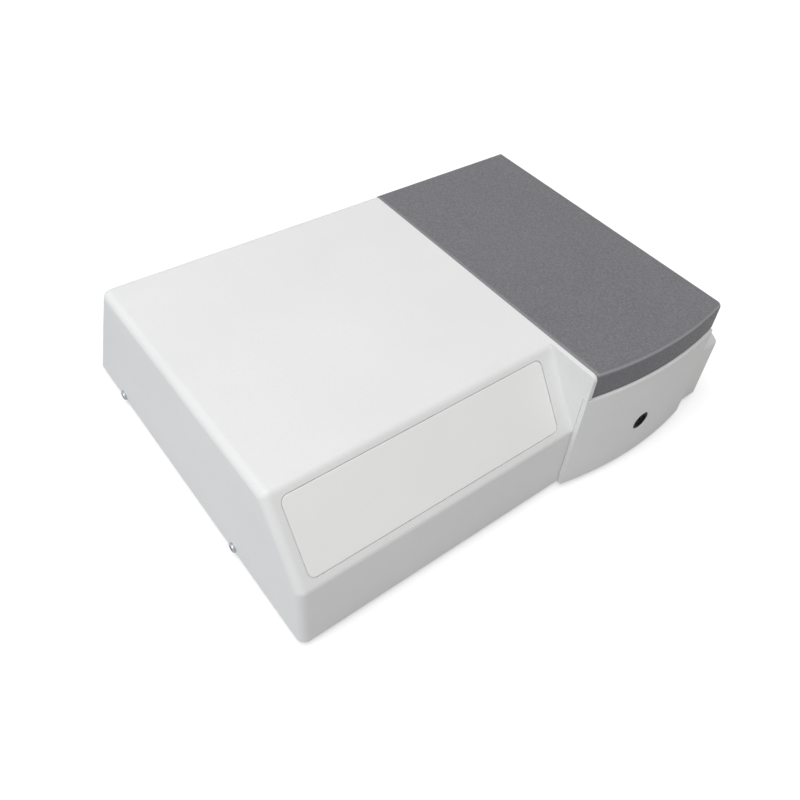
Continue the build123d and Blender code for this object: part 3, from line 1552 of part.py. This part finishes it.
# Power switch: bezel and rocker, the rocker modelled at its lower stop
bezel_thickness = 2.0
bezel_border = 2.0
bezel_wall = 2.0
switch_depth = 16.0
rocker_tilt = 8.0
rocker_gap = 0.4
rocker_axle_radius = 1.5
axle_depth = 1.0
rocker_cavity = 8.5
rocker_axis_in = 4.5  # from the bezel's face to the rocker's axis
y_bezel = y_panel + bezel_thickness
y_rocker = y_bezel - rocker_axis_in
rocker_half_height = switch_height / 2 - bezel_wall - 2 * rocker_gap
rocker_half_width = switch_width / 2 - bezel_wall - rocker_gap
with BuildPart() as switch_bezel:
    block(
        (
            x_switch - switch_width / 2 - bezel_border, y_panel,
            z_port_row - switch_height / 2 - bezel_border,
        ),
        (
            x_switch + switch_width / 2 + bezel_border, y_bezel,
            z_port_row + switch_height / 2 + bezel_border,
        ),
    )
    fillet(switch_bezel.edges().filter_by(Axis.Y), radius=2)
    block(
        (x_switch - switch_width / 2, y_panel - switch_depth, z_port_row - switch_height / 2),
        (x_switch + switch_width / 2, y_panel + 1, z_port_row + switch_height / 2),
    )
    block(
        (
            x_switch - switch_width / 2 + bezel_wall, y_bezel - rocker_cavity,
            z_port_row - switch_height / 2 + bezel_wall,
        ),
        (
            x_switch + switch_width / 2 - bezel_wall, y_bezel + 1,
            z_port_row + switch_height / 2 - bezel_wall,
        ),
        Mode.SUBTRACT,
    )
    axle_reach = switch_width / 2 - bezel_wall + axle_depth
    rod(
        (x_switch - axle_reach, y_rocker, z_port_row), "x", rocker_axle_radius + running_gap,
        2 * axle_reach, Mode.SUBTRACT,
    )
switch_bezel.part.label = "switch_bezel"
export_step(switch_bezel.part, "parts/switch_bezel.step")

with BuildPart() as power_rocker:
    tilt = math.radians(rocker_tilt)
    tall = rocker_half_height
    front_face = rocker_axis_in + 0.5
    rocker_outline = [
        (-2.5, -tall + 1.5), (front_face, -tall), (front_face - 2, 0), (front_face, tall), (-2.5, tall - 1.5)
    ]
    with BuildSketch(Plane.YZ.offset(x_switch - rocker_half_width)):
        with BuildLine():
            Polyline(
                *[
                    (
                        y_rocker + y * math.cos(tilt) - z * math.sin(tilt),
                        z_port_row + y * math.sin(tilt) + z * math.cos(tilt),
                    )
                    for y, z in rocker_outline
                ],
                close=True,
            )
        make_face()
    extrude(amount=2 * rocker_half_width)
    rod(
        (x_switch - axle_reach + running_gap, y_rocker, z_port_row), "x", rocker_axle_radius,
        2 * axle_reach - 2 * running_gap,
    )
power_rocker.part.label = "power_rocker"
export_step(power_rocker.part, "parts/power_rocker.step")

# Data port: a square metal socket with a tongue
port_sheet = 1.5
port_reach = 2.0
port_depth = 14.0
port_cavity_depth = 9.0
port_chamfer = 1.8
tongue_width = 5.6
tongue_height = 3.0
port_flange = 2.0
with BuildPart() as data_port:
    block(
        (x_port - port_width / 2, y_panel - port_depth, z_port_row - port_height / 2),
        (x_port + port_width / 2, y_panel + port_reach, z_port_row + port_height / 2),
    )
    block(
        (
            x_port - port_width / 2 - port_flange, y_panel_in - port_flange,
            z_port_row - port_height / 2 - port_flange,
        ),
        (
            x_port + port_width / 2 + port_flange, y_panel_in,
            z_port_row + port_height / 2 + port_flange,
        ),
    )
    with BuildSketch(Plane.XZ.offset(-y_panel - port_reach)) as port_mouth:
        with Locations((x_port, z_port_row)):
            Rectangle(port_width - 2 * port_sheet, port_height - 2 * port_sheet)
        chamfer(port_mouth.vertices().group_by(Axis.Z)[-1], length=port_chamfer)
    extrude(amount=port_cavity_depth, mode=Mode.SUBTRACT)
    block(
        (
            x_port - tongue_width / 2, y_panel + port_reach - port_cavity_depth,
            z_port_row - tongue_height / 2,
        ),
        (x_port + tongue_width / 2, y_panel, z_port_row + tongue_height / 2),
    )
data_port.part.label = "data_port"
export_step(data_port.part, "parts/data_port.step")

# Fan: frame, rotor and outer guard
strut_width = 4.0
strut_thickness = 2.5
fan_hub = 9.5
fan_shaft_radius = 1.5
rotor_clearance = 0.5
blade_count = 7
blade_thickness = 1.2
blade_chord = 11.0
blade_pitch_angle = 35.0
y_fan = y_panel_in - fan_thickness
with BuildPart() as fan_frame:
    with BuildSketch(Plane.XZ.offset(-y_panel_in)):
        with Locations((x_fan, z_fan)):
            RectangleRounded(fan_size, fan_size, 4)
            Circle(fan_duct, mode=Mode.SUBTRACT)
        with Locations(*fan_screw_places):
            Circle(fan_screw_radius, mode=Mode.SUBTRACT)
    extrude(amount=fan_thickness)
    for wide, tall in ((strut_width, fan_size - 2), (fan_size - 2, strut_width)):
        block(
            (x_fan - wide / 2, y_fan, z_fan - tall / 2),
            (x_fan + wide / 2, y_fan + strut_thickness, z_fan + tall / 2),
        )
    rod((x_fan, y_fan, z_fan), "y", fan_hub, strut_thickness)
    rod((x_fan, y_fan, z_fan), "y", fan_shaft_radius, fan_thickness - 2 * strut_thickness)
fan_frame.part.label = "fan_frame"
export_step(fan_frame.part, "parts/fan_frame.step")

with BuildPart() as fan_rotor:
    y_rotor = y_fan + strut_thickness + rotor_clearance
    rotor_length = fan_thickness - strut_thickness - 2 * rotor_clearance - 1
    rod((x_fan, y_rotor, z_fan), "y", fan_hub, rotor_length)
    blade_reach = fan_duct - 1
    for blade in range(blade_count):
        with Locations(
            Location((x_fan, y_rotor + rotor_length / 2, z_fan), (0, 360 / blade_count * blade, 0))
        ):
            with Locations(Location(((fan_hub + blade_reach) / 2 - 0.5, 0, 0), (blade_pitch_angle, 0, 0))):
                Box(blade_reach - fan_hub + 1, blade_chord, blade_thickness)
    rod(
        (x_fan, y_rotor - 1, z_fan), "y", fan_shaft_radius + running_gap,
        rotor_length - strut_thickness + 2, Mode.SUBTRACT,
    )
fan_rotor.part.label = "fan_rotor"
export_step(fan_rotor.part, "parts/fan_rotor.step")

guard_thickness = 1.6
guard_radii = (8.0, 15.0, 22.0)
guard_ear = 4.0
with BuildPart() as fan_guard:
    with BuildSketch(Plane.XZ.offset(-y_panel - guard_thickness)):
        with Locations((x_fan, z_fan)):
            for radius in guard_radii:
                Circle(radius + guard_thickness / 2)
                Circle(radius - guard_thickness / 2, mode=Mode.SUBTRACT)
            bar_length = 2 * fan_screw_spacing * math.sqrt(2)
            Rectangle(bar_length, guard_thickness, rotation=45)
            Rectangle(bar_length, guard_thickness, rotation=-45)
        with Locations(*fan_screw_places):
            Circle(guard_ear)
            Circle(fan_screw_radius + screw_gap, mode=Mode.SUBTRACT)
    extrude(amount=guard_thickness)
fan_guard.part.label = "fan_guard"
export_step(fan_guard.part, "parts/fan_guard.step")

# Screws of the rear panel, of the inlet and of the fan
rear_slot_width = 0.8
with BuildPart() as rear_screws:
    for places, y_seat, radius, length in (
        (panel_screw_places, y_panel, panel_screw_radius, panel_lug),
        (inlet_screw_places, y_inlet, panel_screw_radius, inlet_flange_thickness + 2 * panel_thickness),
        (fan_screw_places, y_panel + guard_thickness, fan_screw_radius, fan_thickness - 2),
    ):
        for x_screw, z_screw_at in places:
            rod((x_screw, y_seat, z_screw_at), "y", 2 * radius, radius)
            rod((x_screw, y_seat - length, z_screw_at), "y", radius, length + radius / 2)
            block(
                (x_screw - 2 * radius, y_seat + radius / 2, z_screw_at - rear_slot_width / 2),
                (x_screw + 2 * radius, y_seat + 2 * radius, z_screw_at + rear_slot_width / 2),
                Mode.SUBTRACT,
            )
rear_screws.part.label = "rear_screws"
export_step(rear_screws.part, "parts/rear_screws.step")
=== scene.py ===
import json

import bpy
from mathutils import Matrix, Vector

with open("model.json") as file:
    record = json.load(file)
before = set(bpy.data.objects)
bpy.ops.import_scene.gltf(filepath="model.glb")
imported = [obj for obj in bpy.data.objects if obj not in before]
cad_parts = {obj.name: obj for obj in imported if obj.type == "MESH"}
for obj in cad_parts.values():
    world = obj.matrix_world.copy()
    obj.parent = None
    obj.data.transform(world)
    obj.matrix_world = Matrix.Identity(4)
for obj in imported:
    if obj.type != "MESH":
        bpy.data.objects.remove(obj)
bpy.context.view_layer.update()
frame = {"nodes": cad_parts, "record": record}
nodes = frame["nodes"]
scene = bpy.context.scene
scene.view_settings.view_transform = "Standard"

# The photograph in pixels: its width and height, the lens's focal length and the optical centre
PHOTO_SIZE = 800.0
FOCAL_LENGTH = 802.5
CENTRE_ACROSS = 439.8
CENTRE_DOWN = 381.0

# The photograph's camera in the frame, in metres as all lengths below
CAMERA_PLACE = Vector((-0.3646, -0.4072, 0.5546))
CAMERA_RIGHT = Vector((0.773154, -0.626802, 0.096710))
CAMERA_UP = Vector((0.393620, 0.593802, 0.701757))
SENSOR_WIDTH_MM = 36.0
NEAREST_SEEN = 0.02

# Studio: a floor, two lamps that look at the object's middle, and the light from all around
FLOOR_REACH = 6.0
FLOOR_GLOW = 0.5
LAMP_AIM = Vector((0.0, 0.0, 0.05))
KEY_PLACE = Vector((-0.75, -0.25, 2.3))
SIDE_PLACE = Vector((-2.3, 0.1, 0.75))
SIDE_TINT = (0.84, 0.88, 1.0)
ROOM_LIGHT = 0.36
ROOM_TINT = (1.0, 0.995, 0.985, 1.0)
WHITE = (1.0, 1.0, 1.0, 1.0)

# The lid's top, and how far below it the painted highlight band on its rounded top edge starts, is full,
# fades and ends
LID_TOP = max(corner[2] for corner in nodes["lid_shell"].bound_box)
HIGHLIGHT_STARTS = 0.0032
HIGHLIGHT_FULL = 0.0014
HIGHLIGHT_FADES = 0.0012
HIGHLIGHT_ENDS = 0.0002

# The main board's upper face, from its stands' feet up; its parts lie above it
BOARD_STAND = 0.008
BOARD_SHEET = 0.0016
BOARD_FACE = min(corner[2] for corner in nodes["main_board"].bound_box) + BOARD_STAND + BOARD_SHEET
SOLDER_MASK = 0.00005
PART_RISE = 0.00003

# Nearly all of a noise texture's values lie in this span
NOISE_SPAN = (0.3, 0.7)
WHOLE_SPAN = (0.0, 1.0)


def add_camera():
    """The photograph's camera."""
    back = CAMERA_RIGHT.cross(CAMERA_UP)
    turn = Matrix((CAMERA_RIGHT, CAMERA_UP, back)).transposed().to_4x4()
    data = bpy.data.cameras.new("view")
    data.sensor_fit = "HORIZONTAL"
    data.sensor_width = SENSOR_WIDTH_MM
    data.lens = SENSOR_WIDTH_MM * FOCAL_LENGTH / PHOTO_SIZE
    data.shift_x = (PHOTO_SIZE / 2 - CENTRE_ACROSS) / PHOTO_SIZE
    data.shift_y = (CENTRE_DOWN - PHOTO_SIZE / 2) / PHOTO_SIZE
    data.clip_start = NEAREST_SEEN
    obj = bpy.data.objects.new("view", data)
    obj.matrix_world = Matrix.Translation(CAMERA_PLACE) @ turn
    scene.collection.objects.link(obj)
    scene.camera = obj


def colour(red, green, blue):
    """A colour as it looks on screen, from 0 to 255, turned to linear light by the sRGB curve."""
    def linear(value):
        value = value / 255.0
        return value / 12.92 if value <= 0.04045 else ((value + 0.055) / 1.055) ** 2.4

    return (linear(red), linear(green), linear(blue), 1.0)


def socket(sockets, name, kind):
    """The socket of this name and type: a Mix node has several of each name."""
    return next(s for s in sockets if s.name == name and s.type == kind)


class Graph:
    """A node tree that is built up one node at a time."""

    def __init__(self, tree):
        self.tree = tree

    def give(self, target, value):
        """Link an input to another node's output, or set it to a plain value."""
        if isinstance(value, bpy.types.NodeSocket):
            self.tree.links.new(value, target)
        else:
            target.default_value = value

    def add(self, kind, inputs=None, **settings):
        node = self.tree.nodes.new(kind)
        for key, value in settings.items():
            setattr(node, key, value)
        for key, value in (inputs or {}).items():
            self.give(node.inputs[key], value)
        return node

    def calculate(self, operation, first, second):
        return self.add("ShaderNodeMath", {0: first, 1: second}, operation=operation).outputs["Value"]


class Surface(Graph):
    """A material with one shader."""

    def __init__(self, name):
        self.material = bpy.data.materials.new(name)
        self.material.use_nodes = True
        super().__init__(self.material.node_tree)
        self.shader = self.tree.nodes["Principled BSDF"]
        self.place = self.add("ShaderNodeTexCoord").outputs["Object"]

    def feed(self, name, value):
        self.give(self.shader.inputs[name], value)

    def height(self):
        return self.add("ShaderNodeSeparateXYZ", {"Vector": self.place}).outputs["Z"]

    def noise(self, scale, detail=2.0, rough=0.5, squeeze=None):
        place = self.place
        if squeeze:
            place = self.add("ShaderNodeMapping", {"Vector": place, "Scale": squeeze}).outputs["Vector"]
        inputs = {"Vector": place, "Scale": scale, "Detail": detail, "Roughness": rough}
        return self.add("ShaderNodeTexNoise", inputs).outputs["Fac"]

    def ranged(self, source, between=NOISE_SPAN, to=WHOLE_SPAN):
        """Carry the values between two limits over to two others."""
        limits = {"From Min": between[0], "From Max": between[1], "To Min": to[0], "To Max": to[1]}
        return self.add("ShaderNodeMapRange", {"Value": source, **limits}).outputs["Result"]

    def blend(self, factor, first, second):
        node = self.add("ShaderNodeMix", data_type="RGBA")
        self.give(socket(node.inputs, "Factor", "VALUE"), factor)
        self.give(socket(node.inputs, "A", "RGBA"), first)
        self.give(socket(node.inputs, "B", "RGBA"), second)
        return socket(node.outputs, "Result", "RGBA")

    def bump(self, height, strength, depth):
        inputs = {"Height": height, "Strength": strength, "Distance": depth}
        self.feed("Normal", self.add("ShaderNodeBump", inputs).outputs["Normal"])


def moulded(name, dark, light, speck, rough, grain, depth, ior=1.46):
    """Moulded plastic: fine spark-eroded grain, faint broad tone and a few specks."""
    s = Surface(name)
    fine = s.noise(scale=grain, detail=3.0, rough=0.6)
    broad = s.noise(scale=9.0, detail=3.0, rough=0.55)
    specks = s.ranged(s.noise(scale=grain * 0.6, detail=1.0), between=(0.56, 0.72), to=(0.0, 0.35))
    s.feed("Base Color", s.blend(specks, s.blend(s.ranged(broad), dark, light), speck))
    s.feed("Roughness", s.ranged(fine, to=(rough - 0.05, rough + 0.07)))
    s.feed("IOR", ior)
    s.bump(fine, strength=0.5, depth=depth)
    return s.material


def lid_plastic(name):
    """Spark-eroded grey plastic, mottled at the scale of a millimetre, with a painted highlight: a paler
    band where the top edge turns.
    """
    s = Surface(name)
    fine = s.noise(scale=1300.0, rough=0.6)
    mottle = s.noise(scale=620.0, rough=0.7)
    broad = s.noise(scale=8.0, detail=3.0, rough=0.55)
    base = s.blend(s.ranged(broad), colour(96, 95, 99), colour(103, 102, 106))
    base = s.blend(s.ranged(mottle, between=(0.38, 0.7), to=(0.0, 0.55)), base, colour(138, 137, 141))
    # Painted highlight: a paler band just below the lid's top stands in for light caught by the rounded top
    # edge
    height = s.height()
    highlight_rising = s.ranged(height, between=(LID_TOP - HIGHLIGHT_STARTS, LID_TOP - HIGHLIGHT_FULL))
    highlight_falling = s.ranged(height, between=(LID_TOP - HIGHLIGHT_FADES, LID_TOP - HIGHLIGHT_ENDS), to=(1.0, 0.0))
    painted_edge_highlight = s.ranged(s.calculate("MULTIPLY", highlight_rising, highlight_falling), between=WHOLE_SPAN, to=(0.0, 0.5))
    s.feed("Base Color", s.blend(painted_edge_highlight, base, colour(176, 175, 180)))
    s.feed("Roughness", s.ranged(fine, to=(0.42, 0.56)))
    s.bump(mottle, strength=0.5, depth=0.00025)
    return s.material


def metal(name, dark, light, rough, squeeze, scale, depth, metallic=1.0):
    """Sheet, ground or cast metal; squeeze packs the marks closer along an axis by its factor."""
    s = Surface(name)
    marks = s.noise(scale=scale, detail=4.0, rough=0.65, squeeze=squeeze)
    cloud = s.noise(scale=22.0, detail=3.0)
    s.feed("Base Color", s.blend(s.ranged(marks, between=(0.25, 0.75)), dark, light))
    s.feed("Roughness", s.ranged(cloud, to=(rough - 0.07, rough + 0.1)))
    s.feed("Metallic", metallic)
    s.bump(marks, strength=0.35, depth=depth)
    return s.material


def spangled(name, dark, light, rough):
    """Zinc-plated sheet with a crystal pattern."""
    s = Surface(name)
    cells = s.add("ShaderNodeTexVoronoi", {"Vector": s.place, "Scale": 160.0})
    tones = s.add("ShaderNodeSeparateColor", {"Color": cells.outputs["Color"]}).outputs
    s.feed("Base Color", s.blend(tones["Red"], dark, light))
    s.feed("Roughness", s.ranged(tones["Green"], between=WHOLE_SPAN, to=(rough - 0.08, rough + 0.1)))
    s.feed("Metallic", 1.0)
    s.bump(s.noise(scale=700.0), strength=0.2, depth=0.00005)
    return s.material


def glassy(name, dark, light, rough, through):
    """Glass with faint unevenness."""
    s = Surface(name)
    cloud = s.noise(scale=60.0)
    s.feed("Base Color", s.blend(s.ranged(cloud), dark, light))
    s.feed("Roughness", s.ranged(cloud, to=(rough, rough + 0.03)))
    s.feed("IOR", 1.5)
    s.feed("Transmission Weight", through)
    return s.material


def board(name):
    """Circuit board: green mask with paler tracks, and dark from the main board's parts upwards."""
    s = Surface(name)
    tracks = s.add("ShaderNodeTexBrick", {
        "Vector": s.place, "Scale": 90.0, "Mortar Size": 0.03,
        "Color1": colour(24, 92, 52), "Color2": colour(18, 78, 44), "Mortar": colour(70, 140, 84),
    })
    part_foot = BOARD_FACE + SOLDER_MASK
    parts = s.ranged(s.height(), between=(part_foot, part_foot + PART_RISE))
    dark = s.blend(s.noise(scale=500.0), colour(28, 28, 30), colour(44, 44, 46))
    s.feed("Base Color", s.blend(parts, tracks.outputs["Color"], dark))
    s.feed("Roughness", s.ranged(s.noise(scale=120.0), to=(0.3, 0.45)))
    s.bump(s.noise(scale=400.0), strength=0.3, depth=0.0001)
    return s.material


shell = moulded(
    "shell_moulding", rough=0.46, grain=1500.0, depth=0.00008,
    dark=colour(232, 233, 232), light=colour(236, 237, 236), speck=colour(224, 225, 225),
)
label = moulded(
    "label_film", rough=0.40, grain=2600.0, depth=0.00003,
    dark=colour(243, 243, 242), light=colour(246, 246, 245), speck=colour(239, 239, 239),
)
lid = lid_plastic("lid_moulding")
blackened = moulded(
    "blackened_rod", rough=0.6, grain=900.0, depth=0.00005, ior=1.3,
    dark=colour(16, 16, 17), light=colour(20, 20, 21), speck=colour(28, 28, 29),
)
black = moulded(
    "black_moulding", rough=0.6, grain=1400.0, depth=0.0001, ior=1.3,
    dark=colour(20, 20, 21), light=colour(24, 24, 25), speck=colour(34, 34, 35),
)
rubber = moulded(
    "rubber", rough=0.78, grain=900.0, depth=0.00012,
    dark=colour(26, 26, 27), light=colour(33, 33, 34), speck=colour(44, 44, 45),
)
tape = moulded(
    "coil_tape", rough=0.35, grain=500.0, depth=0.0002,
    dark=colour(176, 148, 62), light=colour(190, 162, 74), speck=colour(150, 124, 50),
)
anodised = metal(
    "black_anodised", rough=0.42, squeeze=(1.0, 1.0, 8.0), scale=900.0, depth=0.00003, metallic=0.35,
    dark=colour(26, 26, 29), light=colour(38, 38, 42),
)
steel = metal(
    "ground_steel", rough=0.26, squeeze=(1.0, 60.0, 1.0), scale=60.0, depth=0.00002,
    dark=colour(168, 168, 170), light=colour(198, 198, 200),
)
plated = metal(
    "plated_screw", rough=0.22, squeeze=(1.0, 30.0, 1.0), scale=300.0, depth=0.00002,
    dark=colour(176, 177, 180), light=colour(204, 205, 208),
)
bright = metal(
    "bright_sheet", rough=0.3, squeeze=(40.0, 1.0, 1.0), scale=70.0, depth=0.00002,
    dark=colour(176, 177, 178), light=colour(200, 201, 202),
)
cast = metal(
    "cast_aluminium", rough=0.55, squeeze=(1.0, 1.0, 1.0), scale=420.0, depth=0.0002,
    dark=colour(158, 160, 162), light=colour(184, 186, 188),
)
brass = metal(
    "gear_brass", rough=0.3, squeeze=(1.0, 1.0, 30.0), scale=200.0, depth=0.00002,
    dark=colour(176, 144, 74), light=colour(204, 172, 98),
)
motor = metal(
    "motor_black", rough=0.4, squeeze=(1.0, 1.0, 1.0), scale=500.0, depth=0.00004, metallic=0.4,
    dark=colour(34, 34, 36), light=colour(46, 46, 49),
)
coated = metal(
    "mirror_coating", rough=0.1, squeeze=(1.0, 1.0, 1.0), scale=30.0, depth=0.00001,
    dark=colour(228, 229, 232), light=colour(238, 239, 241),
)
zinc = spangled("zinc_plate", dark=colour(158, 162, 165), light=colour(186, 189, 191), rough=0.38)
supply = spangled("supply_sheet", dark=colour(150, 152, 154), light=colour(176, 178, 180), rough=0.42)
window = glassy(
    "window_glass", dark=colour(226, 238, 240), light=colour(234, 244, 246), rough=0.02, through=0.95
)
filters = glassy(
    "filter_glass", dark=colour(214, 150, 60), light=colour(226, 166, 76), rough=0.03, through=0.9
)
lamps = glassy(
    "lamp_glass", dark=colour(238, 240, 242), light=colour(246, 247, 248), rough=0.02, through=0.9
)
circuit = board("circuit_board")

worn_by = {
    "shell_white": shell, "label_white": label, "lid_grey": lid, "black_plastic": black,
    "seal_rubber": rubber, "foot_rubber": rubber, "zinc_sheet": zinc, "steel": steel,
    "screw_steel": plated, "cast_aluminium": cast, "black_anodised": anodised, "lamp_sheet": bright,
    "window_glass": window, "filter_glass": filters, "lamp_glass": lamps, "mirror_face": coated,
    "gear_brass": brass, "motor_steel": motor, "board_green": circuit, "supply_sheet": supply,
    "coil_tape": tape, "pin_metal": plated,
}
for part in frame["record"]["subparts"]:
    for slot in nodes[part["node"]].material_slots:
        slot.material = worn_by[part["material_slot"]]
nodes["changer_rod"].material_slots[0].material = blackened


def add_floor():
    """Floor: near white to the camera, with the object's shadow and a faint reflection."""
    mesh = bpy.data.meshes.new("floor")
    corners = [(x * FLOOR_REACH, y * FLOOR_REACH, 0.0) for x, y in ((-1, -1), (1, -1), (1, 1), (-1, 1))]
    mesh.from_pydata(corners, [], [(0, 1, 2, 3)])
    obj = bpy.data.objects.new("floor", mesh)
    scene.collection.objects.link(obj)
    s = Surface("floor_board")
    s.feed("Base Color", s.blend(s.ranged(s.noise(scale=3.0)), colour(214, 214, 214), colour(218, 218, 218)))
    s.feed("Roughness", s.ranged(s.noise(scale=5.0), to=(0.12, 0.16)))
    s.feed("IOR", 1.3)
    rays = s.add("ShaderNodeLightPath")
    s.feed("Emission Color", WHITE)
    s.feed("Emission Strength", s.calculate("MULTIPLY", rays.outputs["Is Camera Ray"], FLOOR_GLOW))
    mesh.materials.append(s.material)


def add_world():
    """Backdrop: white where it is seen, reflected or looked at through glass, and dimmer as a light."""
    scene.world = bpy.data.worlds.new("studio")
    scene.world.use_nodes = True
    g = Graph(scene.world.node_tree)
    g.tree.nodes.clear()
    rays = g.add("ShaderNodeLightPath").outputs
    seen = rays["Is Camera Ray"]
    for kind in ("Is Glossy Ray", "Is Transmission Ray"):
        seen = g.calculate("MAXIMUM", seen, rays[kind])
    backdrop = g.add("ShaderNodeBackground", {"Color": WHITE, "Strength": 1.0})
    light = g.add("ShaderNodeBackground", {"Color": ROOM_TINT, "Strength": ROOM_LIGHT})
    mix = g.add("ShaderNodeMixShader", {
        0: seen, 1: light.outputs["Background"], 2: backdrop.outputs["Background"],
    })
    g.add("ShaderNodeOutputWorld", {"Surface": mix.outputs["Shader"]})


def add_lamp(name, place, size, power, tint=WHITE[:3]):
    data = bpy.data.lights.new(name, "AREA")
    data.shape = "SQUARE"
    data.size = size
    data.energy = power
    data.color = tint
    obj = bpy.data.objects.new(name, data)
    obj.rotation_euler = (LAMP_AIM - place).to_track_quat("-Z", "Y").to_euler()
    obj.location = place
    scene.collection.objects.link(obj)


add_camera()
add_floor()
add_world()
add_lamp("key", KEY_PLACE, size=1.6, power=36.0)
add_lamp("side", SIDE_PLACE, size=1.2, power=7.0, tint=SIDE_TINT)
